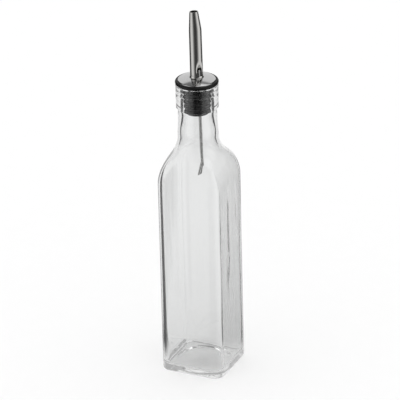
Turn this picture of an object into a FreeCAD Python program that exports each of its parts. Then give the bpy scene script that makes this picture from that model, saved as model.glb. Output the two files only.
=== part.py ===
import FreeCAD, Part
import math
import os

# Square glass oil and vinegar bottle with a push-in metal pourer. Millimetres, +Z up.
# The origin is the centre of the base, on the surface the bottle stands on. The body's flat
# faces look along X and Y. Five pieces: the moulded bottle, the rubber stopper, the domed
# flange plate, the tapered pour spout and the bent breather tube.

# Bottle body
body_side = 55.0
corner_radius = 8.5
heel_radius = 1.5
wall = 2.6
inner_corner_radius = 6.5
floor_height = 3.8
floor_fillet = 4.5
push_up_radius = 22.5
push_up_height = 2.8

# Shoulder: each vertical section is two tangent arcs, convex below and concave above.
# The corners start to lean in a little lower than the middles of the faces do.
shoulder_corner_start = 168.0
shoulder_face_start = 170.0
shoulder_end = 207.0
convex_share = 0.60
shoulder_stations = 12
join_angle_at_neck = 22.5

# Neck and mouth ring. The narrowest place inside is the choke: below it the inside flares
# towards the shoulder, and above it the bore takes the stopper.
neck_base_radius = 16.75
neck_top_radius = 15.85
choke_wall = 4.95
neck_base_wall = 3.1
ring_bottom = 232.1
ring_radius = 17.35
ring_bottom_round = 1.5
groove_height = 245.2
groove_half_width = 0.6
groove_depth = 0.5
lip_radius = 17.45
lip_round = 2.0
mouth_height = 252.5
bore_radius = 11.7
bore_start = 230.5
choke_height = 226.0
bell_mouth_round = 2.6

# Rubber stopper
running_gap = 0.05
rim_radius = 17.6
rim_thickness = 3.05
rim_round = 1.5
recess_depth = 0.5
recess_edge = 0.3
stopper_bottom = 227.2
stopper_bottom_radius = 8.2
rib_count = 5
rib_pitch = 4.3
rib_depth = 0.8
rib_taper = 0.25
rib_top = 248.6

# Flange plate: a shallow dome with a rolled edge, pressed from sheet
plate_radius = 15.4
plate_thickness = 0.6
plate_apex = 258.52
plate_dome_radius = 50.0
plate_roll_radius = 0.9
plate_skirt = 0.28
braze_gap = 0.02

# Pour spout: one tube that is also the stem through the stopper. Above its foot it leans away
# from the vent, and the tapered tip leans further, so the pouring side stays nearly straight.
spout_radius = 5.3
spout_wall = 0.5
spout_tip_radius = 3.55
spout_tip = 313.6
stem_bottom = 227.0
foot_height = 258.25
foot_flare_height = 1.5
foot_flare_radius = 1.8
foot_bite = 0.05
slimming = 0.0035
lean_slope = 0.012
taper_start = 298.5
skew_slope = 0.090
spout_blend = 2.0
spout_stations = 28

# Vent in the spout wall: a pressed scoop above an arch-topped slot. The heading turns the
# pourer's own +X, the vent side, about Z.
vent_heading = -33.0
slot_width = 4.7
slot_bottom = 259.9
slot_top = 267.0
scoop_top = 274.3
scoop_radius = 3.0
scoop_depth = 1.8

# Breather tube: straight inside the stem, splayed outwards below it, then kinked back to a
# flattened end that is cut at a slant
breather_half_width = 1.16
breather_half_thickness = 1.15
breather_wall = 0.25
breather_gap = 0.1
breather_top = 265.3
breather_splay = 0.032
breather_kink = 184.5
breather_kink_slope = 0.3335
breather_end = 172.0
breather_blend = 3.0
breather_stations = 30
end_half_width = 1.75
end_half_thickness = 0.55
end_cut_angle = 18.0
end_cutter_size = 14.0

half_side = body_side / 2
taper_slope = (
    spout_radius - slimming * (spout_tip - foot_height) - spout_tip_radius
) / (spout_tip - taper_start)
full_turn = 360
quarter_turn = 90
tolerance = 1e-6
up = FreeCAD.Vector(0, 0, 1)
origin = FreeCAD.Vector(0, 0, 0)


def polar(centre, radius, angle):
    """Point of an outline, at an angle in degrees about a centre."""
    turn = math.radians(angle)
    return centre[0] + radius * math.cos(turn), centre[1] + radius * math.sin(turn)


def arc(centre, radius, start, end):
    """One outline step: an arc about centre, from angle start to angle end in degrees."""
    return polar(centre, radius, (start + end) / 2), polar(centre, radius, end)


def turned(start, *steps):
    """Solid of revolution about Z from an outline of (radius, height) points.

    A step of one point is a straight line to it, and a step of two is an arc through the first
    to the second.
    """
    edges = []
    here = FreeCAD.Vector(start[0], 0, start[1])
    for step in steps + ((start,),):
        points = [FreeCAD.Vector(r, 0, z) for r, z in step]
        if points[-1].distanceToPoint(here) < tolerance:
            continue
        if len(points) == 1:
            edges.append(Part.LineSegment(here, points[0]).toShape())
        else:
            edges.append(Part.Arc(here, *points).toShape())
        here = points[-1]
    return Part.Face(Part.Wire(edges)).revolve(origin, up, full_turn)


def bent_profile(height, start_height, start_radius, end_radius):
    """Radius of a shoulder profile at a height: a convex arc, then a concave one."""
    if height <= start_height:
        return start_radius
    rise = shoulder_end - start_height
    drop = start_radius - end_radius
    turn = 2 * math.atan(drop / rise)
    radii = rise / math.sin(turn)
    convex = convex_share * radii
    concave = radii - convex
    from_start = height - start_height
    if from_start <= convex * math.sin(turn):
        return start_radius - convex + math.sqrt(convex ** 2 - from_start ** 2)
    to_end = max(shoulder_end - height, 0)
    return end_radius + concave - math.sqrt(concave ** 2 - to_end ** 2)


def square_to_round(height, face, corner, join_angle):
    """Closed section with a half width at its faces and a half diagonal at its corners.

    Four corner arcs meet four side arcs with no kink, where the outline has turned join_angle
    (degrees) from the middle of a side. At join angle 0 the sides are straight.
    """
    turn = math.radians(join_angle)
    if join_angle > 0:
        side_term = 1 / math.tan(turn) - 1 / math.sin(turn) - 1
    else:
        side_term = -1
    centre = (corner - face) / (math.sqrt(2) + side_term)
    radius = face + centre * side_term
    along = centre + radius * math.cos(turn)
    across = centre + radius * math.sin(turn)
    diagonal = corner / math.sqrt(2)
    edges = []
    for quarter in range(4):
        spin = FreeCAD.Rotation(up, quarter_turn * quarter)
        spin_next = FreeCAD.Rotation(up, quarter_turn * (quarter + 1))
        first = spin.multVec(FreeCAD.Vector(along, across, height))
        middle = spin.multVec(FreeCAD.Vector(diagonal, diagonal, height))
        last = spin.multVec(FreeCAD.Vector(across, along, height))
        side_middle = spin.multVec(FreeCAD.Vector(0, face, height))
        next_first = spin_next.multVec(FreeCAD.Vector(along, across, height))
        edges.append(Part.Arc(first, middle, last).toShape())
        if join_angle > 0:
            edges.append(Part.Arc(last, side_middle, next_first).toShape())
        else:
            edges.append(Part.LineSegment(last, next_first).toShape())
    return Part.Wire(edges)


def square_vessel(half_width, radius, bottom, bottom_fillet, neck_radius):
    """Rounded-square prism with a filleted bottom, closed by a shoulder that turns round."""
    corner = (half_width - radius) * math.sqrt(2) + radius
    base = square_to_round(bottom, half_width, corner, 0)
    prism = Part.Face(base).extrude(up * (shoulder_corner_start - bottom))
    bottom_edges = [e for e in prism.Edges if abs(e.BoundBox.ZMax - bottom) < tolerance]
    prism = prism.makeFillet(bottom_fillet, bottom_edges)
    sections = []
    for station in range(shoulder_stations + 1):
        share = station / shoulder_stations
        height = shoulder_corner_start + share * (shoulder_end - shoulder_corner_start)
        face = bent_profile(height, shoulder_face_start, half_width, neck_radius)
        diagonal = bent_profile(height, shoulder_corner_start, corner, neck_radius)
        sections.append(square_to_round(height, face, diagonal, share * join_angle_at_neck))
    return prism.fuse(Part.makeLoft(sections, True))


def push_up_ball(bottom):
    """Ball whose cap, above the height bottom, is the push-up of the bottle's base."""
    ball_radius = (push_up_radius ** 2 + push_up_height ** 2) / (2 * push_up_height)
    return Part.makeSphere(ball_radius, FreeCAD.Vector(0, 0, bottom + push_up_height - ball_radius))


def glass_bottle():
    """Moulded bottle: square body, domed base, round neck with a grooved mouth ring."""
    ring_root = (neck_top_radius, ring_bottom + ring_bottom_round)
    lip_centre = (lip_radius - lip_round, mouth_height - lip_round)
    neck = turned(
        (0, shoulder_end),
        ((neck_base_radius, shoulder_end),),
        ((neck_top_radius, choke_height),),
        ((neck_top_radius, ring_bottom),),
        arc(ring_root, ring_bottom_round, -90, 0),
        ((ring_radius, groove_height - groove_half_width),),
        ((ring_radius - groove_depth, groove_height), (lip_radius, groove_height + groove_half_width)),
        ((lip_radius, mouth_height - lip_round),),
        arc(lip_centre, lip_round, 0, 90),
        ((0, mouth_height),),
    )
    choke_radius = neck_top_radius - choke_wall
    inner_base_radius = neck_base_radius - neck_base_wall
    flare_rise = choke_height - shoulder_end
    flare_turn = 2 * math.atan((inner_base_radius - choke_radius) / flare_rise)
    flare_radius = flare_rise / (2 * math.sin(flare_turn))
    flare_angle = math.degrees(flare_turn)
    bell_centre = (bore_radius + bell_mouth_round, mouth_height - bell_mouth_round)
    bore = turned(
        (0, shoulder_end),
        ((inner_base_radius, shoulder_end),),
        arc((inner_base_radius - flare_radius, shoulder_end), flare_radius, 0, flare_angle),
        arc((choke_radius + flare_radius, choke_height), flare_radius, 180 + flare_angle, 180),
        ((bore_radius, bore_start),),
        ((bore_radius, mouth_height - bell_mouth_round),),
        arc(bell_centre, bell_mouth_round, 180, 90),
        ((0, mouth_height),),
    )
    outside = square_vessel(half_side, corner_radius, 0, heel_radius, neck_base_radius).fuse(neck)
    inside = square_vessel(
        half_side - wall, inner_corner_radius, floor_height, floor_fillet, inner_base_radius
    ).fuse(bore)
    cavity = inside.removeSplitter().cut(push_up_ball(floor_height))
    return outside.removeSplitter().cut(cavity).cut(push_up_ball(0))


def rubber_stopper():
    """Rubber stopper: rounded rim on the mouth, bell seat, then a ribbed and tapered plug."""
    rim_bottom = mouth_height + running_gap
    rim_top = rim_bottom + rim_thickness
    rim_core = rim_radius - rim_round
    recess_floor = rim_top - recess_depth
    recess_radius = plate_radius + running_gap
    bore = spout_radius + running_gap
    first_rib_radius = bore_radius - running_gap
    bell_centre = (bore_radius + bell_mouth_round, mouth_height - bell_mouth_round)
    steps = [
        ((bore, recess_floor),),
        ((recess_radius, recess_floor),),
        ((recess_radius, rim_top - recess_edge),),
        arc((recess_radius + recess_edge, rim_top - recess_edge), recess_edge, 180, 90),
        ((rim_core, rim_top),),
        arc((rim_core, rim_top - rim_round), rim_round, 90, 0),
        ((rim_radius, rim_bottom + rim_round),),
        arc((rim_core, rim_bottom + rim_round), rim_round, 0, -90),
        ((bell_centre[0], rim_bottom),),
        arc(bell_centre, bell_mouth_round + running_gap, 90, 180),
    ]
    for rib in range(rib_count):
        top = rib_top - rib * rib_pitch
        rib_radius = first_rib_radius - rib * rib_taper
        root_radius = rib_radius - rib_depth
        steps.append(((root_radius, top),))
        steps.append(((rib_radius, top - rib_pitch / 4), (root_radius, top - rib_pitch / 2)))
    steps.append(((stopper_bottom_radius, stopper_bottom),))
    return turned((bore, stopper_bottom), *steps)


def flange_plate():
    """Domed sheet plate with a rolled, skirted edge and a central hole for the spout's stem."""
    hole = spout_radius + braze_gap
    inner_dome = plate_dome_radius - plate_thickness
    dome_centre = (0, plate_apex - plate_dome_radius)
    reach = plate_radius - plate_roll_radius
    edge_angle = math.degrees(math.acos(reach / (plate_dome_radius - plate_roll_radius)))
    roll_centre = polar(dome_centre, plate_dome_radius - plate_roll_radius, edge_angle)
    skirt_bottom = roll_centre[1] - plate_skirt
    hole_angle = math.degrees(math.acos(hole / plate_dome_radius))
    inner_hole_angle = math.degrees(math.acos(hole / inner_dome))
    return turned(
        polar(dome_centre, plate_dome_radius, hole_angle),
        arc(dome_centre, plate_dome_radius, hole_angle, edge_angle),
        arc(roll_centre, plate_roll_radius, edge_angle, 0),
        ((plate_radius, skirt_bottom),),
        ((plate_radius - plate_thickness, skirt_bottom),),
        ((plate_radius - plate_thickness, roll_centre[1]),),
        arc(roll_centre, plate_roll_radius - plate_thickness, 0, edge_angle),
        arc(dome_centre, inner_dome, edge_angle, inner_hole_angle),
    )


def soft_ramp(distance, blend):
    """Zero before the start and distance after it, rounded over blend on each side."""
    if distance <= -blend:
        return 0.0
    if distance >= blend:
        return distance
    return (distance + blend) ** 2 / (4 * blend)


def spout_offset(height):
    """Distance of the spout's centre line from Z, positive towards the vent."""
    lean = lean_slope * soft_ramp(height - foot_height, spout_blend)
    skew = skew_slope * soft_ramp(height - taper_start, spout_blend)
    return -lean - skew


def spout_outer_radius(height):
    """Outside radius of the spout at a height."""
    slim = slimming * soft_ramp(height - foot_height, spout_blend)
    taper = taper_slope * soft_ramp(height - taper_start, spout_blend)
    return spout_radius - slim - taper


def slanted(offset_at, height):
    """Centre, and direction, of a bent tube's centre line at a height."""
    step = 0.01
    slope = (offset_at(height + step) - offset_at(height - step)) / (2 * step)
    return FreeCAD.Vector(offset_at(height), 0, height), FreeCAD.Vector(slope, 0, 1)


def spout_core(inset):
    """Solid inside the spout's surface moved in by inset, from the stem's end to the tip."""
    stem = Part.makeCylinder(
        spout_radius - inset, foot_height - spout_blend - stem_bottom,
        FreeCAD.Vector(0, 0, stem_bottom)
    )
    low = foot_height - spout_blend
    sections = []
    for station in range(spout_stations + 1):
        height = low + (spout_tip - low) * station / spout_stations
        centre, direction = slanted(spout_offset, height)
        circle = Part.Circle(centre, direction, spout_outer_radius(height) - inset)
        sections.append(Part.Wire([circle.toShape()]))
    return stem.fuse(Part.makeLoft(sections, True))


def scoop_tool(extra):
    """Slanted round bar that presses the scoop into the spout, larger by extra all round."""
    low = slot_top - slot_width / 2
    low_wall = spout_offset(low) + spout_outer_radius(low)
    high_wall = spout_offset(scoop_top) + spout_outer_radius(scoop_top)
    low_point = FreeCAD.Vector(low_wall + scoop_radius - scoop_depth, 0, low)
    high_point = FreeCAD.Vector(high_wall + scoop_radius, 0, scoop_top)
    direction = high_point - low_point
    return Part.makeCylinder(scoop_radius + extra, 2 * direction.Length, low_point, direction)


def vent_slot():
    """Arch-topped slot tool, from the spout's axis out through the vent side of its wall."""
    half = slot_width / 2
    depth = spout_radius + spout_wall
    spring_line = slot_top - half
    size = (depth, slot_width, spring_line - slot_bottom)
    slot = Part.makeBox(*size, FreeCAD.Vector(0, -half, slot_bottom))
    arch = Part.makeCylinder(
        half, depth, FreeCAD.Vector(0, 0, spring_line), FreeCAD.Vector(1, 0, 0)
    )
    return slot.fuse(arch)


def pour_spout():
    """Tapered, slightly leaning tube with a flared foot, a vent scoop and a stem below."""
    flare_centre = (
        spout_radius + foot_flare_radius - foot_bite, foot_height + foot_flare_height
    )
    flare_end = 180 + math.degrees(math.asin(foot_flare_height / foot_flare_radius))
    root = spout_radius - spout_wall / 2
    foot = turned(
        (root, foot_height),
        (polar(flare_centre, foot_flare_radius, flare_end),),
        arc(flare_centre, foot_flare_radius, flare_end, 180),
        ((root, flare_centre[1]),),
    )
    outside = spout_core(0).fuse(foot).cut(scoop_tool(0))
    inside = spout_core(spout_wall).cut(scoop_tool(spout_wall))
    return outside.cut(inside).cut(vent_slot())


def breather_offset(height):
    """Distance of the breather's centre line from Z, positive towards the vent."""
    inside_stem = spout_radius - spout_wall - breather_half_thickness - breather_gap
    splay = breather_splay * soft_ramp(stem_bottom - breather_blend - height, breather_blend)
    kink = breather_kink_slope * soft_ramp(breather_kink - height, breather_blend)
    return inside_stem + splay - kink


def breather_core(inset):
    """Solid inside the breather's surface moved in by inset, with its lower end square."""
    low = breather_end - end_half_width
    flattening = breather_kink - low
    sections = []
    for station in range(breather_stations + 1):
        height = breather_top + (low - breather_top) * station / breather_stations
        share = min(soft_ramp(breather_kink - height, breather_blend) / flattening, 1)
        width = breather_half_width + share * (end_half_width - breather_half_width)
        thickness = breather_half_thickness + share * (end_half_thickness - breather_half_thickness)
        centre, direction = slanted(breather_offset, height)
        side = FreeCAD.Vector(0, 1, 0)
        face_normal = side.cross(direction).normalize()
        ellipse = Part.Ellipse(
            centre + side * (width - inset), centre + face_normal * (thickness - inset), centre
        )
        sections.append(Part.Wire([ellipse.toShape()]))
    return Part.makeLoft(sections, True)


def breather_tube():
    """Thin bent air tube from the vent slot down into the bottle, open at both ends."""
    corner = FreeCAD.Vector(-end_cutter_size / 2, -end_cutter_size / 2, -end_cutter_size)
    cutter = Part.makeBox(end_cutter_size, end_cutter_size, end_cutter_size, corner)
    cutter.rotate(origin, FreeCAD.Vector(1, 0, 0), end_cut_angle)
    cutter.translate(FreeCAD.Vector(breather_offset(breather_end), 0, breather_end))
    return breather_core(0).cut(breather_core(breather_wall)).cut(cutter)


def heading_to_vent(shape):
    """The pourer's metal pieces, turned so that the vent faces its heading."""
    shape.rotate(origin, up, vent_heading)
    return shape


parts = {
    "glass_bottle": glass_bottle(),
    "rubber_stopper": rubber_stopper(),
    "flange_plate": flange_plate(),
    "pour_spout": heading_to_vent(pour_spout()),
    "breather_tube": heading_to_vent(breather_tube()),
}

os.makedirs("parts", exist_ok=True)
for name, shape in parts.items():
    shape.exportStep("parts/" + name + ".step")
    box = shape.BoundBox
    print(name, shape.ShapeType, "solids", len(shape.Solids), "valid", shape.isValid(),
          "cm3 %.2f" % (shape.Volume / 1000), "z %.2f to %.2f" % (box.ZMin, box.ZMax))
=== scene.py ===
import math

import bpy
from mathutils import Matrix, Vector, noise


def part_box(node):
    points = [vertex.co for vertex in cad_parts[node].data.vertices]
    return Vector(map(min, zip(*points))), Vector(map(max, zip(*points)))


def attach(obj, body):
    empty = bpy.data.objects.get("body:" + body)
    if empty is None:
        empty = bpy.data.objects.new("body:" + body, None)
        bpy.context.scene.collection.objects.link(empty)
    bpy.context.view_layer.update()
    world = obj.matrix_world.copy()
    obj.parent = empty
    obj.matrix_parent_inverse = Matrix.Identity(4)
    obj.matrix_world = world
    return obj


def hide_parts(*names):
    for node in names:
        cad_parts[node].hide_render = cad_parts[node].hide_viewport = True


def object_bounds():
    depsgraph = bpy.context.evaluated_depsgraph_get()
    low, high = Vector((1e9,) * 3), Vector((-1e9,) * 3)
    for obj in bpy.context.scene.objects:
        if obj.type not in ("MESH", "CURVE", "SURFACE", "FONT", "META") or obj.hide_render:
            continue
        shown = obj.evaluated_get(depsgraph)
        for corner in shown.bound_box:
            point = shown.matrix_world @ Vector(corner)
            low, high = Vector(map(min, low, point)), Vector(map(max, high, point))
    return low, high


# Glass oil bottle with a rubber stopper and a metal pourer, in metres, in the CAD frame.
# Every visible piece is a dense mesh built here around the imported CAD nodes, which it replaces.

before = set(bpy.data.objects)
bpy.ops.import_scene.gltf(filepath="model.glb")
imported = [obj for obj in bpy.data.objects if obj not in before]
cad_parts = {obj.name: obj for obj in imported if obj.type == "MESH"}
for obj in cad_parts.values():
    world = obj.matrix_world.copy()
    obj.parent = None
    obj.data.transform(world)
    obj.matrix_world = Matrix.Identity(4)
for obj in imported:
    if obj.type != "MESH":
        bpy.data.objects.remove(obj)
cad_low, cad_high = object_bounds()

MM = 0.001
QUARTER = math.pi / 2

bottle_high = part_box("glass_bottle")[1]
stopper_low, stopper_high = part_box("rubber_stopper")
plate_low, plate_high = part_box("flange_plate")
spout_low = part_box("pour_spout")[0]
breather_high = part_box("breather_tube")[1]

# Bottle
HALF_SIDE = bottle_high.x
MOUTH = bottle_high.z
CORNER_RADIUS = 8.5 * MM
HEEL_RADIUS = 1.5 * MM
WALL = 2.6 * MM
INNER_CORNER_RADIUS = 6.5 * MM
FLOOR = 3.8 * MM
FLOOR_FILLET = 4.5 * MM
PUSH_UP_RADIUS = 22.5 * MM
PUSH_UP_HEIGHT = 2.8 * MM
PUSH_UP_BLEND = 0.15 * MM
CORNER_SHOULDER = 168.0 * MM
FACE_SHOULDER = 170.0 * MM
SHOULDER_END = 207.0 * MM
CONVEX_SHARE = 0.60
ROUND_JOIN = math.radians(22.5)
NECK_BASE = 16.75 * MM
NECK_TOP = 15.85 * MM
CHOKE_WALL = 4.2 * MM
NECK_BASE_WALL = 3.1 * MM
RING_BOTTOM = 232.1 * MM
RING_RADIUS = 17.35 * MM
RING_ROUND = 0.9 * MM
RING_ROOT = 0.6 * MM
GROOVE = 245.2 * MM
GROOVE_HALF = 0.6 * MM
GROOVE_DEPTH = 0.42 * MM
LIP_RADIUS = 17.45 * MM
LIP_ROUND = 1.0 * MM
BORE = 11.7 * MM
BORE_START = 230.5 * MM
CHOKE = 226.0 * MM
BELL_ROUND = 2.6 * MM
SIDE_STEPS = 20
CORNER_STEPS = 14

# Unevenness of the bottle's inner wall: length of its waves across and along the wall, their
# depth all round, and the further depth they reach on the +X face
BROAD_ACROSS = 9 * MM
BROAD_ALONG = 70 * MM
BROAD_DEPTH = 0.12 * MM
BROAD_FURTHER = 0.5 * MM
FINE_ACROSS = 4 * MM
FINE_ALONG = 45 * MM
FINE_DEPTH = 0.04 * MM
FINE_FURTHER = 0.3 * MM
FINE_SHIFT = 7

# Pourer
GAP = 0.05 * MM
BELL_PRESS = 0.02 * MM
RIM_ROUND = 1.5 * MM
RECESS = 0.5 * MM
RECESS_EDGE = 0.3 * MM
RIB_COUNT = 5
RIB_PITCH = 4.3 * MM
RIB_DEPTH = 0.8 * MM
RIB_TAPER = 0.25 * MM
RIB_FULLNESS = 0.7
RIB_TOP = 248.6 * MM
STOPPER_END_RADIUS = 8.2 * MM
STOPPER_END_ROUND = 0.6 * MM
PLATE_APEX = 258.52 * MM
DOME_RADIUS = 50.0 * MM
ROLL_RADIUS = 0.9 * MM
PLATE_THICKNESS = 0.6 * MM
PLATE_CLEARANCE = 0.02 * MM
SPOUT_RADIUS = 5.3 * MM
SPOUT_WALL = 0.5 * MM
SPOUT_FOOT = 258.25 * MM
FLARE_HEIGHT = 1.5 * MM
FLARE_RADIUS = 1.8 * MM
FLARE_STEP = 0.02 * MM
SLIMMING = 0.0035
LEAN = 0.012
TAPER_START = 298.5 * MM
SPOUT_TIP = 313.6 * MM
TIP_RADIUS = 3.55 * MM
SKEW = 0.090
BLEND = 2.0 * MM
VENT_HEADING = math.radians(-33)
SLOT_HALF = 2.35 * MM
SLOT_BOTTOM = 259.9 * MM
SLOT_TOP = 267.0 * MM
SCOOP_TOP = 274.3 * MM
SCOOP_DEPTH = 1.8 * MM
SCOOP_HALF = 3.8 * MM
BREATHER_RADIUS = 1.15 * MM
BREATHER_WALL = 0.25 * MM
BREATHER_GAP = 0.1 * MM
SPLAY = 0.032
KINK = 184.5 * MM
KINK_SLOPE = 0.3335
BREATHER_END = 172.0 * MM
BREATHER_BLEND = 3.0 * MM
END_HALF_WIDTH = 1.75 * MM
END_HALF_THICKNESS = 0.55 * MM
END_CUT = math.radians(18)

# How much radius the tapered end loses per height, and the step that measures a slope
TAPER = (SPOUT_RADIUS - SLIMMING * (SPOUT_TIP - SPOUT_FOOT) - TIP_RADIUS) / (
    SPOUT_TIP - TAPER_START
)
SLOPE_STEP = 0.1 * MM

# Camera: angle, distance, aim and lens
CAMERA_AZIMUTH = math.radians(24.89)
CAMERA_ELEVATION = math.radians(25.657)
CAMERA_ROLL = math.radians(-1.437)
CAMERA_DISTANCE = 2.6004
CAMERA_AIM_HEIGHT = 148.43 * MM
CAMERA_AIM_RIGHT = 0.2 * MM
CAMERA_LENS = 287.1
SENSOR_WIDTH = 36

# Studio, as glass and metal see it: tones of the backdrop, the gaps and the side lights
PALE = 0.88
DARK = 0.06
UPPER_GAP = 0.4
SIDE_LIGHT = 0.92

# Heights (sine of the angle up) where the walls end and the overhead light starts, the tone
# above the walls, and the sideways place of the overhead light's edge
WALLS_END = (0.64, 0.72)
ABOVE_WALLS = 0.25
OVERHEAD_START = (0.76, 0.80)
OVERHEAD_EDGE = (-0.08, 0.0)

# Light on matt surfaces, and the painted glow of the glass for light kept inside after so many
# turns
AMBIENT = 1.12
GUIDED_LIGHT = 0.42
GUIDED_DEPTH = 10.0

# Floor: half its size, its place, its tone, the painted shade on it around the bottle as glass
# and metal see it, and the distance from which the studio's tones are painted on it
FLOOR_SIZE = 6.0
FLOOR_GAP = 0.05 * MM
FLOOR_WHITE = 0.9
PAINTED_SHADE = 0.79
PAINTED_SHADE_REACH = 0.30
PAINTED_STUDIO_FROM = 0.035

# Bounces that light needs to get through the glass
GLASS_BOUNCES = 32
CLEAR_BOUNCES = 16


def mesh_object(name, points, faces, body, node):
    """A smooth-shaded piece that rides on a body and stands for a CAD node."""
    mesh = bpy.data.meshes.new(name)
    mesh.from_pydata([tuple(p) for p in points], [], faces)
    mesh.validate()
    mesh.polygons.foreach_set("use_smooth", [True] * len(mesh.polygons))
    piece = bpy.data.objects.new(name, mesh)
    bpy.context.scene.collection.objects.link(piece)
    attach(piece, body)
    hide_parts(node)
    return piece


def skin(rings, closed_ends):
    """Points and faces of a surface through rings of equal length, in order.

    With closed_ends, the first and last rings are single points, the poles. Without it, the
    last ring joins the first, as on a torus.
    """
    points = []
    starts = []
    for loop in rings:
        starts.append(len(points))
        points.extend(loop)
    faces = []
    count = len(rings) - 1 if closed_ends else len(rings)
    for row in range(count):
        low, high = starts[row], starts[(row + 1) % len(rings)]
        low_ring, high_ring = rings[row], rings[(row + 1) % len(rings)]
        steps = max(len(low_ring), len(high_ring))
        for i in range(steps):
            j = (i + 1) % steps
            if len(low_ring) == 1:
                faces.append((low, high + j, high + i))
            elif len(high_ring) == 1:
                faces.append((low + i, low + j, high))
            else:
                faces.append((low + i, low + j, high + j, high + i))
    return points, faces


def soft_ramp(distance, blend):
    """Zero before the start and distance after it, rounded over blend on each side."""
    if distance <= -blend:
        return 0.0
    if distance >= blend:
        return distance
    return (distance + blend) ** 2 / (4 * blend)


def bent_profile(height, start_height, start_radius, end_radius):
    """Radius of a shoulder profile at a height: a convex arc, then a concave one."""
    if height <= start_height:
        return start_radius
    rise = SHOULDER_END - start_height
    turn = 2 * math.atan((start_radius - end_radius) / rise)
    radii = rise / math.sin(turn)
    convex = CONVEX_SHARE * radii
    concave = radii - convex
    climbed = height - start_height
    if climbed <= convex * math.sin(turn):
        return start_radius - convex + math.sqrt(convex ** 2 - climbed ** 2)
    left = max(SHOULDER_END - height, 0)
    return end_radius + concave - math.sqrt(concave ** 2 - left ** 2)


def section(face, corner, join):
    """Points of a square-to-round outline, each as (position, outward direction).

    face is the half width, corner the half diagonal, and join the angle through which the
    outline turns from the middle of a side to where a corner arc starts.
    """
    side_term = -1 if join == 0 else 1 / math.tan(join) - 1 / math.sin(join) - 1
    centre = (corner - face) / (math.sqrt(2) + side_term)
    radius = face + centre * side_term
    reach = radius + (centre / math.sin(join) if join > 0 else 0)
    side_half = centre + radius * math.sin(join)
    outline = []
    for quarter in range(4):
        spin = quarter * QUARTER
        for i in range(CORNER_STEPS):
            turn = join + (QUARTER - 2 * join) * i / CORNER_STEPS
            away = Vector((math.cos(turn), math.sin(turn)))
            outline.append((Vector((centre, centre)) + radius * away, away, spin))
        for i in range(SIDE_STEPS):
            share = 2 * i / SIDE_STEPS - 1
            turn = QUARTER + share * join
            away = Vector((math.cos(turn), math.sin(turn)))
            if join == 0:
                place = Vector((-share * side_half, face))
            else:
                place = Vector((0, face - reach)) + reach * away
            outline.append((place, away, spin))
    turned = []
    for place, away, spin in outline:
        c, s = math.cos(spin), math.sin(spin)
        turned.append((
            Vector((c * place.x - s * place.y, s * place.x + c * place.y)),
            Vector((c * away.x - s * away.y, s * away.x + c * away.y)),
        ))
    return turned


def ripple(place, height):
    """Depth of the uneven inner wall: long upright waves, deepest on the +X face."""
    x, y = place
    broad = noise.noise(Vector((x / BROAD_ACROSS, y / BROAD_ACROSS, height / BROAD_ALONG)))
    fine = noise.noise(
        Vector((x / FINE_ACROSS, y / FINE_ACROSS, height / FINE_ALONG + FINE_SHIFT))
    )
    facing = (max(0, x) / (abs(x) + abs(y))) ** 2
    broad_depth = BROAD_DEPTH + BROAD_FURTHER * facing
    fine_depth = FINE_DEPTH + FINE_FURTHER * facing
    return broad_depth * broad + fine_depth * fine


def ring(height, face, corner, join, wave=0.0):
    """One closed ring of the bottle's surface, moved outwards by wave times the ripple."""
    points = []
    for place, away in section(face, corner, join):
        if wave:
            place = place + away * (wave * ripple(place, height))
        points.append((place.x, place.y, height))
    return points


def arc_points(centre, radius, start, end, steps):
    """Points of an arc in a (radius, height) profile, from angle start to end in degrees."""
    points = []
    for i in range(steps + 1):
        turn = math.radians(start + (end - start) * i / steps)
        points.append((centre[0] + radius * math.cos(turn), centre[1] + radius * math.sin(turn)))
    return points


def line_points(start, end, steps):
    """Evenly spaced points from start to end, without start."""
    return [
        tuple(a + (b - a) * i / steps for a, b in zip(start, end)) for i in range(1, steps + 1)
    ]


def spread(start, end, steps):
    """Evenly spaced values from start to end, without start."""
    return [start + (end - start) * i / steps for i in range(1, steps + 1)]


def vessel_rings(half, corner_radius, bottom, fillet, neck, wave):
    """Rings of a rounded-square vessel, from its bottom's flat edge up to the neck."""
    corner = (half - corner_radius) * math.sqrt(2) + corner_radius
    rings = []
    for r, z in arc_points((0, bottom + fillet), fillet, -90, 0, 10):
        inset = fillet - r
        rings.append(ring(z, half - inset, corner - inset, 0))
    body_steps = 44
    low = bottom + fillet
    for i in range(1, body_steps + 1):
        z = low + (CORNER_SHOULDER - low) * i / body_steps
        rings.append(ring(z, half, corner, 0, wave * min(1, 2 * i / body_steps)))
    shoulder_steps = 32
    for i in range(1, shoulder_steps + 1):
        share = i / shoulder_steps
        z = CORNER_SHOULDER + share * (SHOULDER_END - CORNER_SHOULDER)
        face = bent_profile(z, FACE_SHOULDER, half, neck)
        diagonal = bent_profile(z, CORNER_SHOULDER, corner, neck)
        rings.append(ring(z, face, diagonal, share * ROUND_JOIN, wave * (1 - share)))
    return rings


def base_rings():
    """Rings of the underside, from its centre to the inner edge of the heel."""
    rings = [[(0, 0, PUSH_UP_HEIGHT)]]
    shares = spread(0, 15 / 16, 15) + [0.96, 0.98, 1.0, 1.02, 1.04]
    for share in shares:
        r = PUSH_UP_RADIUS * share
        z = soft_ramp(PUSH_UP_HEIGHT * (1 - share ** 2), PUSH_UP_BLEND)
        rings.append(ring(z, r, r, ROUND_JOIN))
    half = HALF_SIDE - HEEL_RADIUS
    radius = CORNER_RADIUS - HEEL_RADIUS
    corner = (half - radius) * math.sqrt(2) + radius
    outermost = PUSH_UP_RADIUS * shares[-1]
    for share in (1 / 3, 2 / 3):
        face = outermost + (half - outermost) * share
        diagonal = outermost + (corner - outermost) * share
        rings.append(ring(0, face, diagonal, ROUND_JOIN * (1 - share)))
    return rings


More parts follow.
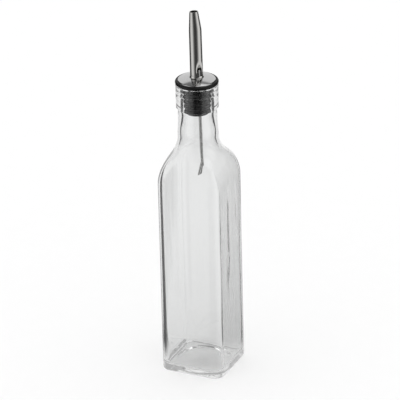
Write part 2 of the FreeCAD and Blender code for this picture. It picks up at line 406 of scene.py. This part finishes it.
def floor_rings():
    """Rings of the inner floor, from its centre to the start of its fillet."""
    rings = [[(0, 0, FLOOR + PUSH_UP_HEIGHT)]]
    half = HALF_SIDE - WALL - FLOOR_FILLET
    radius = INNER_CORNER_RADIUS - FLOOR_FILLET
    corner = (half - radius) * math.sqrt(2) + radius
    steps = 16
    for i in range(1, steps):
        share = i / steps
        z = FLOOR + PUSH_UP_HEIGHT * (0.5 + 0.5 * math.cos(math.pi * share))
        squareness = share ** 2
        diagonal = share * (half + (corner - half) * squareness)
        rings.append(ring(z, share * half, diagonal, ROUND_JOIN * (1 - squareness)))
    return rings


def round_rings(profile):
    """Rings of the round neck and mouth through (radius, height) points."""
    return [ring(z, r, r, ROUND_JOIN) for r, z in profile]


def glass_bottle():
    """The moulded bottle: outside from base to lip, then inside from lip to floor."""
    outside = vessel_rings(HALF_SIDE, CORNER_RADIUS, 0, HEEL_RADIUS, NECK_BASE, 0)
    neck = line_points((NECK_BASE, SHOULDER_END), (NECK_TOP, CHOKE), 8)
    neck += line_points(neck[-1], (NECK_TOP, RING_BOTTOM - RING_ROOT), 3)
    root = (NECK_TOP + RING_ROOT, RING_BOTTOM - RING_ROOT)
    neck += arc_points(root, RING_ROOT, 180, 90, 3)[1:]
    neck += arc_points((RING_RADIUS - RING_ROUND, RING_BOTTOM + RING_ROUND), RING_ROUND, -90, 0, 6)
    neck += line_points(neck[-1], (RING_RADIUS, GROOVE - GROOVE_HALF), 4)
    for share in spread(0, 1, 8):
        step_out = (LIP_RADIUS - RING_RADIUS) * share
        dip = GROOVE_DEPTH * math.sin(math.pi * share) ** 2
        z = GROOVE - GROOVE_HALF + 2 * GROOVE_HALF * share
        neck.append((RING_RADIUS + step_out - dip, z))
    neck += line_points(neck[-1], (LIP_RADIUS, MOUTH - LIP_ROUND), 3)
    neck += arc_points((LIP_RADIUS - LIP_ROUND, MOUTH - LIP_ROUND), LIP_ROUND, 0, 90, 8)[1:]
    bell = (BORE + BELL_ROUND, MOUTH - BELL_ROUND)
    neck += arc_points(bell, BELL_ROUND, 90, 180, 8)
    neck += line_points(neck[-1], (BORE, BORE_START), 5)
    choke = NECK_TOP - CHOKE_WALL
    inner_base = NECK_BASE - NECK_BASE_WALL
    for share in spread(0, 1, 8):
        ease = 0.5 - 0.5 * math.cos(math.pi * share)
        neck.append((BORE + (choke - BORE) * ease, BORE_START + (CHOKE - BORE_START) * share))
    turn = 2 * math.atan((inner_base - choke) / (CHOKE - SHOULDER_END))
    bend = (CHOKE - SHOULDER_END) / (2 * math.sin(turn))
    angle = math.degrees(turn)
    neck += arc_points((choke + bend, CHOKE), bend, 180, 180 + angle, 10)[1:]
    neck += arc_points((inner_base - bend, SHOULDER_END), bend, angle, 0, 10)[1:]
    inside = vessel_rings(
        HALF_SIDE - WALL, INNER_CORNER_RADIUS, FLOOR, FLOOR_FILLET, inner_base, 1
    )
    rings = base_rings() + outside + round_rings(neck[:-1]) + inside[::-1] + floor_rings()[::-1]
    points, faces = skin(rings, True)
    return mesh_object("bottle_glass", points, faces, "bottle", "glass_bottle")


def lathe(name, profile, body, node, steps=128):
    """A turned piece from a closed outline of (radius, height) points."""
    rings = []
    for r, z in profile:
        rings.append([
            (r * math.cos(2 * math.pi * i / steps), r * math.sin(2 * math.pi * i / steps), z)
            for i in range(steps)
        ])
    points, faces = skin(rings, False)
    return mesh_object(name, points, faces, body, node)


def rubber_stopper():
    """Rim, bell seat, sealing ribs and tapered end, with the hole for the stem."""
    rim_radius = stopper_high.x
    rim_top = stopper_high.z
    rim_bottom = MOUTH - BELL_PRESS
    core = rim_radius - RIM_ROUND
    hole = SPOUT_RADIUS + GAP
    recess_radius = plate_high.x + GAP
    recess_floor = rim_top - RECESS
    profile = line_points((hole, stopper_low.z), (hole, recess_floor), 6)
    profile += line_points(profile[-1], (recess_radius, recess_floor), 6)
    edge = (recess_radius + RECESS_EDGE, rim_top - RECESS_EDGE)
    profile += arc_points(edge, RECESS_EDGE, 180, 90, 5)
    profile += arc_points((core, rim_top - RIM_ROUND), RIM_ROUND, 90, 0, 10)
    profile += arc_points((core, rim_bottom + RIM_ROUND), RIM_ROUND, 0, -90, 10)
    bell = (BORE + BELL_ROUND, MOUTH - BELL_ROUND)
    profile += arc_points(bell, BELL_ROUND - BELL_PRESS, 90, 180, 10)
    rib_steps = 12
    for rib in range(RIB_COUNT):
        top = RIB_TOP - rib * RIB_PITCH
        root = BORE - GAP - rib * RIB_TAPER - RIB_DEPTH
        for i in range(rib_steps + 1):
            share = i / rib_steps
            swell = math.sin(math.pi * share) ** RIB_FULLNESS if 0 < i < rib_steps else 0
            profile.append((root + RIB_DEPTH * swell, top - RIB_PITCH / 2 * share))
    end = (STOPPER_END_RADIUS - STOPPER_END_ROUND, stopper_low.z + STOPPER_END_ROUND)
    profile += arc_points(end, STOPPER_END_ROUND, 0, -90, 5)
    profile += line_points(profile[-1], (hole, stopper_low.z), 3)
    same_point = 0.001 * MM
    outline = profile[:1]
    for before, point in zip(profile, profile[1:]):
        if math.dist(before, point) > same_point:
            outline.append(point)
    outline.reverse()
    return lathe("stopper_rubber", outline, "stopper", "rubber_stopper", 144)


def flange_plate():
    """Domed sheet plate with a rolled edge."""
    hole = SPOUT_RADIUS + PLATE_CLEARANCE
    reach = plate_high.x - ROLL_RADIUS
    dome = (0, PLATE_APEX - DOME_RADIUS)
    edge = math.degrees(math.acos(reach / (DOME_RADIUS - ROLL_RADIUS)))
    roll = (reach, dome[1] + (DOME_RADIUS - ROLL_RADIUS) * math.sin(math.radians(edge)))
    inner = DOME_RADIUS - PLATE_THICKNESS
    outer_hole = math.degrees(math.acos(hole / DOME_RADIUS))
    inner_hole = math.degrees(math.acos(hole / inner))
    profile = arc_points(dome, DOME_RADIUS, outer_hole, edge, 24)
    profile += arc_points(roll, ROLL_RADIUS, edge, 0, 8)[1:]
    profile += line_points(profile[-1], (plate_high.x, plate_low.z), 2)
    profile += line_points(profile[-1], (plate_high.x - PLATE_THICKNESS, plate_low.z), 2)
    profile += arc_points(roll, ROLL_RADIUS - PLATE_THICKNESS, 0, edge, 5)
    profile += arc_points(dome, inner, edge, inner_hole, 16)[1:]
    profile.reverse()
    return lathe("plate_steel", profile, "spout", "flange_plate", 160)


def turned_to_vent(points):
    """Points turned about Z from the pourer's own frame, with its vent along +X."""
    c, s = math.cos(VENT_HEADING), math.sin(VENT_HEADING)
    return [(c * x - s * y, s * x + c * y, z) for x, y, z in points]


def spout_offset(height):
    """Distance of the spout's centre line from Z, positive towards the vent."""
    lean = LEAN * soft_ramp(height - SPOUT_FOOT, BLEND)
    return -lean - SKEW * soft_ramp(height - TAPER_START, BLEND)


def spout_radius(height):
    """Outside radius of the spout at a height, with the flare of its foot."""
    slim = SLIMMING * soft_ramp(height - SPOUT_FOOT, BLEND)
    taper = TAPER * soft_ramp(height - TAPER_START, BLEND)
    below_flare = SPOUT_FOOT + FLARE_HEIGHT - height
    flare = 0.0
    if 0 < below_flare <= FLARE_HEIGHT:
        flare = FLARE_RADIUS - math.sqrt(FLARE_RADIUS ** 2 - below_flare ** 2)
    return SPOUT_RADIUS - slim - taper + flare


def slot_half_width(height):
    """Half width of the band of faces that the vent slot is cut from, at a height."""
    spring_line = SLOT_TOP - SLOT_HALF
    narrowest = 0.25 * SLOT_HALF
    if height <= spring_line:
        return SLOT_HALF
    if height <= SLOT_TOP:
        climbed = (height - spring_line) / SLOT_HALF
        return max(narrowest, SLOT_HALF * math.sqrt(max(0.0, 1 - climbed ** 2)))
    share = min(1.0, (height - SLOT_TOP) / (2 * SLOT_HALF))
    return narrowest + (SLOT_HALF - narrowest) * share


def scoop(across, height):
    """How far the wall is pressed in above the slot, at a distance across the vent."""
    if not SLOT_BOTTOM < height < SCOOP_TOP or abs(across) > SCOOP_HALF:
        return 0.0
    spring_line = SLOT_TOP - SLOT_HALF
    fade = 1.5 * SLOT_HALF
    if height > spring_line:
        run = (SCOOP_TOP - height) / (SCOOP_TOP - spring_line)
    else:
        run = max(0.0, 1 - (spring_line - height) / fade)
    along = run * run * (3 - 2 * run)
    sideways = 0.5 + 0.5 * math.cos(math.pi * across / SCOOP_HALF)
    return SCOOP_DEPTH * along * sideways


def pour_spout():
    """One tube from the stem's end to the tip, with a pressed scoop and an open vent slot."""
    slot_columns = 16
    other_columns = 112
    above_scoop = SCOOP_TOP + 1 * MM
    # The stem's last ring is just under the foot, where the tube steps out to the flare.
    heights = [spout_low.z] + spread(spout_low.z, SPOUT_FOOT - FLARE_STEP, 8)
    heights += [SPOUT_FOOT] + spread(SPOUT_FOOT, SPOUT_FOOT + FLARE_HEIGHT, 10)
    heights += [SLOT_BOTTOM] + spread(SLOT_BOTTOM, SLOT_TOP, 26)
    heights += spread(SLOT_TOP, above_scoop, 22)
    heights += spread(above_scoop, SPOUT_TIP, 60)
    points = []
    for height in heights:
        radius = spout_radius(height)
        offset = spout_offset(height)
        slope = (spout_offset(height + SLOPE_STEP) - offset) / SLOPE_STEP
        half_angle = math.asin(slot_half_width(height) / SPOUT_RADIUS)
        angles = [half_angle * (2 * i / slot_columns - 1) for i in range(slot_columns)]
        span = 2 * math.pi - 2 * half_angle
        angles += [half_angle + span * i / other_columns for i in range(other_columns)]
        for angle in angles:
            x, y = radius * math.cos(angle), radius * math.sin(angle)
            if math.cos(angle) > 0:
                x -= scoop(y, height)
            points.append((offset + x, y, height - slope * x))
    columns = slot_columns + other_columns
    faces = []
    for row in range(len(heights) - 1):
        middle = (heights[row] + heights[row + 1]) / 2
        for i in range(columns):
            if i < slot_columns and SLOT_BOTTOM < middle < SLOT_TOP:
                continue
            j = (i + 1) % columns
            faces.append((
                row * columns + i, row * columns + j,
                (row + 1) * columns + j, (row + 1) * columns + i
            ))
    piece = mesh_object(
        "spout_steel", turned_to_vent(points), faces, "spout", "pour_spout"
    )
    add_wall(piece, SPOUT_WALL)
    return piece


def add_wall(piece, thickness):
    """Gives an open skin its wall, inwards, with slightly rounded rims."""
    solid = piece.modifiers.new("wall", "SOLIDIFY")
    solid.thickness = thickness
    solid.offset = -1
    solid.use_even_offset = True
    bevel = piece.modifiers.new("rims", "BEVEL")
    bevel.width = 0.2 * thickness
    bevel.segments = 2
    bevel.limit_method = "ANGLE"
    bevel.angle_limit = math.radians(50)


def breather_offset(height):
    """Distance of the breather's centre line from Z, positive towards the vent."""
    inside_stem = SPOUT_RADIUS - SPOUT_WALL - BREATHER_RADIUS - BREATHER_GAP
    splay = SPLAY * soft_ramp(spout_low.z - BREATHER_BLEND - height, BREATHER_BLEND)
    return inside_stem + splay - KINK_SLOPE * soft_ramp(KINK - height, BREATHER_BLEND)


def breather_tube():
    """Thin bent tube, flattened at its lower end and cut there at a slant."""
    rows, columns = 150, 40
    top = breather_high.z
    flattening = KINK - BREATHER_END
    points = []
    for row in range(rows + 1):
        height = top + (BREATHER_END - top) * row / rows
        share = min(soft_ramp(KINK - height, BREATHER_BLEND) / flattening, 1)
        width = BREATHER_RADIUS + share * (END_HALF_WIDTH - BREATHER_RADIUS)
        thickness = BREATHER_RADIUS + share * (END_HALF_THICKNESS - BREATHER_RADIUS)
        offset = breather_offset(height)
        slope = (breather_offset(height + SLOPE_STEP) - offset) / SLOPE_STEP
        for i in range(columns):
            angle = 2 * math.pi * i / columns
            x, y = thickness * math.cos(angle), width * math.sin(angle)
            slant = y * math.tan(END_CUT) * share
            points.append((offset + x + slope * slant, y, height - slope * x + slant))
    faces = []
    for row in range(rows):
        for i in range(columns):
            j = (i + 1) % columns
            faces.append((
                row * columns + i, (row + 1) * columns + i,
                (row + 1) * columns + j, row * columns + j
            ))
    piece = mesh_object(
        "breather_steel", turned_to_vent(points), faces, "spout", "breather_tube",
    )
    add_wall(piece, BREATHER_WALL)
    return piece


class Nodes:
    """Short calls for building a node tree."""

    def __init__(self, tree):
        self.tree = tree
        tree.nodes.clear()

    def add(self, kind, settings=(), **inputs):
        """A new node with attribute settings, and inputs given as values or sockets."""
        node = self.tree.nodes.new(kind)
        for name, value in dict(settings).items():
            setattr(node, name, value)
        for name, value in inputs.items():
            key = int(name[1:]) if name[0] == "_" else name.replace("_", " ")
            socket = node.inputs[key]
            if isinstance(value, bpy.types.NodeSocket):
                self.tree.links.new(value, socket)
            else:
                socket.default_value = value
        return node

    def math(self, operation, a, b=0.0):
        """Output of a maths node."""
        return self.add("ShaderNodeMath", {"operation": operation}, _0=a, _1=b).outputs[0]

    def vector(self, operation, a, b=(0, 0, 0)):
        """Vector output of a vector maths node."""
        return self.add("ShaderNodeVectorMath", {"operation": operation}, _0=a, _1=b).outputs[0]

    def dot(self, a, b):
        """Dot product of two vectors."""
        node = self.add("ShaderNodeVectorMath", {"operation": "DOT_PRODUCT"}, _0=a, _1=b)
        return node.outputs["Value"]

    def mix(self, factor, a, b):
        """A value that goes from a to b as factor goes from 0 to 1."""
        return self.add("ShaderNodeMix", {"data_type": "FLOAT"}, _0=factor, _2=a, _3=b).outputs[0]

    def rise(self, value, low, high):
        """A smooth step from 0 at low to 1 at high."""
        step = self.add("ShaderNodeMapRange", {"interpolation_type": "SMOOTHSTEP"}, Value=value)
        step.inputs["From Min"].default_value = low
        step.inputs["From Max"].default_value = high
        return step.outputs[0]

    def ramp(self, factor, stops):
        """Colour output of a ramp with (position, grey value) stops."""
        node = self.add("ShaderNodeValToRGB", _0=factor)
        while len(node.color_ramp.elements) < len(stops):
            node.color_ramp.elements.new(0.5)
        for element, (position, grey) in zip(node.color_ramp.elements, stops):
            element.position = position
            element.color = opaque(grey, grey, grey)
        return node.outputs["Color"]


def opaque(red, green, blue):
    """A colour with full alpha."""
    return (red, green, blue, 1)


def new_material(name):
    """An empty node material and its helper."""
    material = bpy.data.materials.new(name)
    material.use_nodes = True
    return material, Nodes(material.node_tree)


def stretched_noise(n, scale, stretch, detail=3.0):
    """Noise factor on object coordinates, with its own stretch along each axis."""
    coordinates = n.add("ShaderNodeTexCoord").outputs["Object"]
    mapping = n.add("ShaderNodeMapping", Vector=coordinates, Scale=stretch)
    return n.add(
        "ShaderNodeTexNoise", Vector=mapping.outputs[0], Scale=scale, Detail=detail
    ).outputs["Fac"]


def glass_material():
    """Clear flint glass with a faint grey tint and faint surface ripple.

    Light that the walls keep inside like a light guide is painted after several turns: the glass
    glows grey.
    """
    material, n = new_material("clear_glass")
    material.cycles.emission_sampling = "NONE"
    ripple_map = stretched_noise(n, 60.0, (1, 1, 0.25), 2.0)
    bump = n.add("ShaderNodeBump", Strength=0.04, Distance=0.001, Height=ripple_map)
    tint = n.add("ShaderNodeMix", {"data_type": "RGBA"}, _0=ripple_map,
                 _6=opaque(0.955, 0.96, 0.96), _7=opaque(0.975, 0.977, 0.975))
    glass = n.add(
        "ShaderNodeBsdfPrincipled", Base_Color=tint.outputs[2], Roughness=0.0, IOR=1.5,
        Transmission_Weight=1.0, Normal=bump.outputs[0]
    )
    clear = n.add("ShaderNodeBsdfTransparent", Color=opaque(0.92, 0.92, 0.92))
    rays = n.add("ShaderNodeLightPath")
    lamps = n.math("MAXIMUM", rays.outputs["Is Shadow Ray"], rays.outputs["Is Diffuse Ray"])
    mix = n.add("ShaderNodeMixShader", _0=lamps, _1=glass.outputs[0], _2=clear.outputs[0])
    # Painted glow: after several turns the glass emits a set grey tone.
    painted_guided_glow = n.add("ShaderNodeEmission", Color=opaque(GUIDED_LIGHT, GUIDED_LIGHT, GUIDED_LIGHT))
    deep = n.math("GREATER_THAN", rays.outputs["Ray Depth"], GUIDED_DEPTH)
    whole = n.add("ShaderNodeMixShader", _0=deep, _1=mix.outputs[0], _2=painted_guided_glow.outputs[0])
    n.add("ShaderNodeOutputMaterial", Surface=whole.outputs[0])
    return material


def rubber_material():
    """Black moulded rubber with a satin skin."""
    material, n = new_material("black_rubber")
    grain = stretched_noise(n, 900.0, (1, 1, 1), 4.0)
    cloud = stretched_noise(n, 90.0, (1, 1, 1), 3.0)
    colour = n.ramp(cloud, [(0.3, 0.004), (0.7, 0.010)])
    roughness = n.add("ShaderNodeMapRange", Value=cloud, To_Min=0.32, To_Max=0.5)
    bump = n.add("ShaderNodeBump", Strength=0.25, Distance=0.0002, Height=grain)
    rubber = n.add(
        "ShaderNodeBsdfPrincipled", Base_Color=colour, Roughness=roughness.outputs[0],
        Specular_IOR_Level=0.22, Normal=bump.outputs[0]
    )
    n.add("ShaderNodeOutputMaterial", Surface=rubber.outputs[0])
    return material


def steel_material(name, stretch, scale, tone, roughness_low, roughness_high):
    """Polished stainless steel with fine marks, drawn out by stretch along each axis."""
    material, n = new_material(name)
    marks = stretched_noise(n, scale, stretch, 6.0)
    colour = n.add("ShaderNodeMix", {"data_type": "RGBA"}, _0=marks,
                   _6=opaque(*(0.9 * part for part in tone)), _7=opaque(*tone))
    roughness = n.add(
        "ShaderNodeMapRange", Value=marks, To_Min=roughness_low, To_Max=roughness_high
    )
    bump = n.add("ShaderNodeBump", Strength=0.08, Distance=0.0001, Height=marks)
    steel = n.add(
        "ShaderNodeBsdfPrincipled", Base_Color=colour.outputs[2], Metallic=1.0,
        Roughness=roughness.outputs[0], Normal=bump.outputs[0]
    )
    n.add("ShaderNodeOutputMaterial", Surface=steel.outputs[0])
    return material


def bearing_and_distance(n, vector):
    """Bearing, length and rightward part of a vector's level part, as the camera sees them.

    The bearing is 0 straight away from the camera, 0.5 to either side and 1 straight back.
    """
    look = n.add(
        "ShaderNodeVectorTransform",
        {"vector_type": "VECTOR", "convert_from": "CAMERA", "convert_to": "WORLD"},
        Vector=(0, 0, 1)
    )
    ahead = n.vector("NORMALIZE", n.vector("MULTIPLY", look.outputs[0], (1, 1, 0)))
    right = n.vector("CROSS_PRODUCT", ahead, (0, 0, 1))
    along = n.dot(vector, ahead)
    rightward = n.dot(vector, right)
    aside = n.math("ABSOLUTE", rightward)
    bearing = n.math("DIVIDE", n.math("ARCTAN2", aside, along), math.pi)
    square = n.math("ADD", n.math("MULTIPLY", aside, aside), n.math("MULTIPLY", along, along))
    return bearing, n.math("SQRT", square), rightward


def surroundings(n, bearing, gap_in_glass):
    """Tone of the studio around the bottle: pale backdrop, gap, side lights, camera's side.

    Each stop of a ramp is a bearing and its tone. Through glass the gap has its own tone and
    starts further round, so that only the bottle's edges pick it up.
    """
    in_glass = n.ramp(bearing, [
        (0.0, PALE), (0.235, PALE), (0.265, gap_in_glass), (0.48, gap_in_glass),
        (0.54, SIDE_LIGHT), (0.78, SIDE_LIGHT), (0.88, gap_in_glass), (1.0, gap_in_glass),
    ])
    in_metal = n.ramp(bearing, [
        (0.0, PALE), (0.16, PALE), (0.20, DARK), (0.43, DARK),
        (0.50, SIDE_LIGHT), (0.68, SIDE_LIGHT), (0.80, 0.3 * SIDE_LIGHT), (0.90, DARK),
    ])
    rays = n.add("ShaderNodeLightPath")
    return n.mix(rays.outputs["Is Transmission Ray"], in_metal, in_glass)


def mirrored(n):
    """1 for rays that a polished surface or glass has sent on, and 0 for all others."""
    rays = n.add("ShaderNodeLightPath")
    return n.math("MAXIMUM", rays.outputs["Is Glossy Ray"], rays.outputs["Is Transmission Ray"])


def studio_floor():
    """Plain pale floor. To glass and metal: painted shade round the bottle, painted studio tones
    beyond.
    """
    low = cad_low.z - FLOOR_GAP
    signs = [(-1, -1), (1, -1), (1, 1), (-1, 1)]
    corners = [(FLOOR_SIZE * x, FLOOR_SIZE * y, low) for x, y in signs]
    mesh = bpy.data.meshes.new("floor")
    mesh.from_pydata(corners, [], [(0, 1, 2, 3)])
    floor = bpy.data.objects.new("floor", mesh)
    bpy.context.scene.collection.objects.link(floor)
    material, n = new_material("floor_paper")
    place = n.add("ShaderNodeNewGeometry").outputs["Position"]
    bearing, distance, _ = bearing_and_distance(n, place)
    # Painted shade: darker towards the bottle, and painted studio tones by bearing a short way
    # out.
    painted_shade_near = n.mix(n.rise(distance, 0.0, PAINTED_SHADE_REACH), PAINTED_SHADE, PALE)
    painted_studio_share = n.rise(distance, PAINTED_STUDIO_FROM, 2 * PAINTED_STUDIO_FROM)
    tone = n.mix(painted_studio_share, painted_shade_near, n.math("MINIMUM", painted_shade_near, surroundings(n, bearing, DARK)))
    seen_with_painted_shade = n.mix(mirrored(n), FLOOR_WHITE, n.math("MULTIPLY", tone, FLOOR_WHITE))
    grain = n.rise(stretched_noise(n, 60.0, (1, 1, 1), 4.0), 0.0, 1.0)
    white = n.math("MULTIPLY", seen_with_painted_shade, n.mix(grain, 0.99, 1.0))
    diffuse = n.add("ShaderNodeBsdfDiffuse", Color=white)
    n.add("ShaderNodeOutputMaterial", Surface=diffuse.outputs[0])
    floor.data.materials.append(material)


def studio_world():
    """Even soft light on everything, white behind the bottle, and a lit studio in reflections."""
    world = bpy.data.worlds.new("studio")
    bpy.context.scene.world = world
    world.use_nodes = True
    world.cycles.sampling_method = "NONE"
    n = Nodes(world.node_tree)
    direction = n.add("ShaderNodeTexCoord").outputs["Generated"]
    bearing, _, rightward = bearing_and_distance(n, direction)
    height = n.add("ShaderNodeSeparateXYZ", _0=direction).outputs["Z"]
    fall_off = n.mix(n.rise(height, *WALLS_END), 1.0, ABOVE_WALLS)
    walls = n.math("MULTIPLY", surroundings(n, bearing, UPPER_GAP), fall_off)
    overhead = n.math(
        "MULTIPLY", n.rise(height, *OVERHEAD_START), n.rise(rightward, *OVERHEAD_EDGE)
    )
    tone = n.math("ADD", walls, overhead)
    rays = n.add("ShaderNodeLightPath")
    lit = n.mix(rays.outputs["Is Diffuse Ray"], 1.0, AMBIENT)
    strength = n.mix(mirrored(n), lit, tone)
    background = n.add("ShaderNodeBackground", Color=(1, 1, 1, 1), Strength=strength)
    n.add("ShaderNodeOutputWorld", Surface=background.outputs[0])


def studio_camera():
    """Camera that looks down at the bottle, a little round from its front face."""
    a, e = CAMERA_AZIMUTH, CAMERA_ELEVATION
    back = Vector((math.sin(a) * math.cos(e), -math.cos(a) * math.cos(e), math.sin(e)))
    right = Vector((math.cos(a), math.sin(a), 0))
    up = back.cross(right)
    c, s = math.cos(CAMERA_ROLL), math.sin(CAMERA_ROLL)
    rolled_right = right * c + up * s
    rolled_up = up * c - right * s
    data = bpy.data.cameras.new("camera")
    data.lens = CAMERA_LENS
    data.sensor_width = SENSOR_WIDTH
    camera = bpy.data.objects.new("camera", data)
    bpy.context.scene.collection.objects.link(camera)
    aim = Vector((0, 0, CAMERA_AIM_HEIGHT)) + right * CAMERA_AIM_RIGHT
    place = aim + back * CAMERA_DISTANCE
    matrix = camera.matrix_world.copy()
    for row in range(3):
        matrix[row][0] = rolled_right[row]
        matrix[row][1] = rolled_up[row]
        matrix[row][2] = back[row]
        matrix[row][3] = place[row]
    camera.matrix_world = matrix
    bpy.context.scene.camera = camera


bottle = glass_bottle()
stopper = rubber_stopper()
plate = flange_plate()
spout = pour_spout()
breather = breather_tube()

bottle.data.materials.append(glass_material())
stopper.data.materials.append(rubber_material())
plate.data.materials.append(
    steel_material("plate_steel", (1, 1, 1), 500.0, (0.6, 0.6, 0.6), 0.10, 0.18)
)
spout.data.materials.append(
    steel_material("spout_steel", (1, 1, 0.05), 700.0, (0.66, 0.65, 0.63), 0.12, 0.20)
)
breather.data.materials.append(
    steel_material("breather_steel", (1, 1, 0.1), 900.0, (0.6, 0.6, 0.59), 0.2, 0.32)
)

studio_floor()
studio_world()
studio_camera()
bpy.context.scene.view_settings.view_transform = "Standard"
bpy.context.scene.cycles.use_denoising = True
bpy.context.scene.cycles.max_bounces = GLASS_BOUNCES
bpy.context.scene.cycles.glossy_bounces = GLASS_BOUNCES
bpy.context.scene.cycles.transmission_bounces = GLASS_BOUNCES
bpy.context.scene.cycles.transparent_max_bounces = CLEAR_BOUNCES
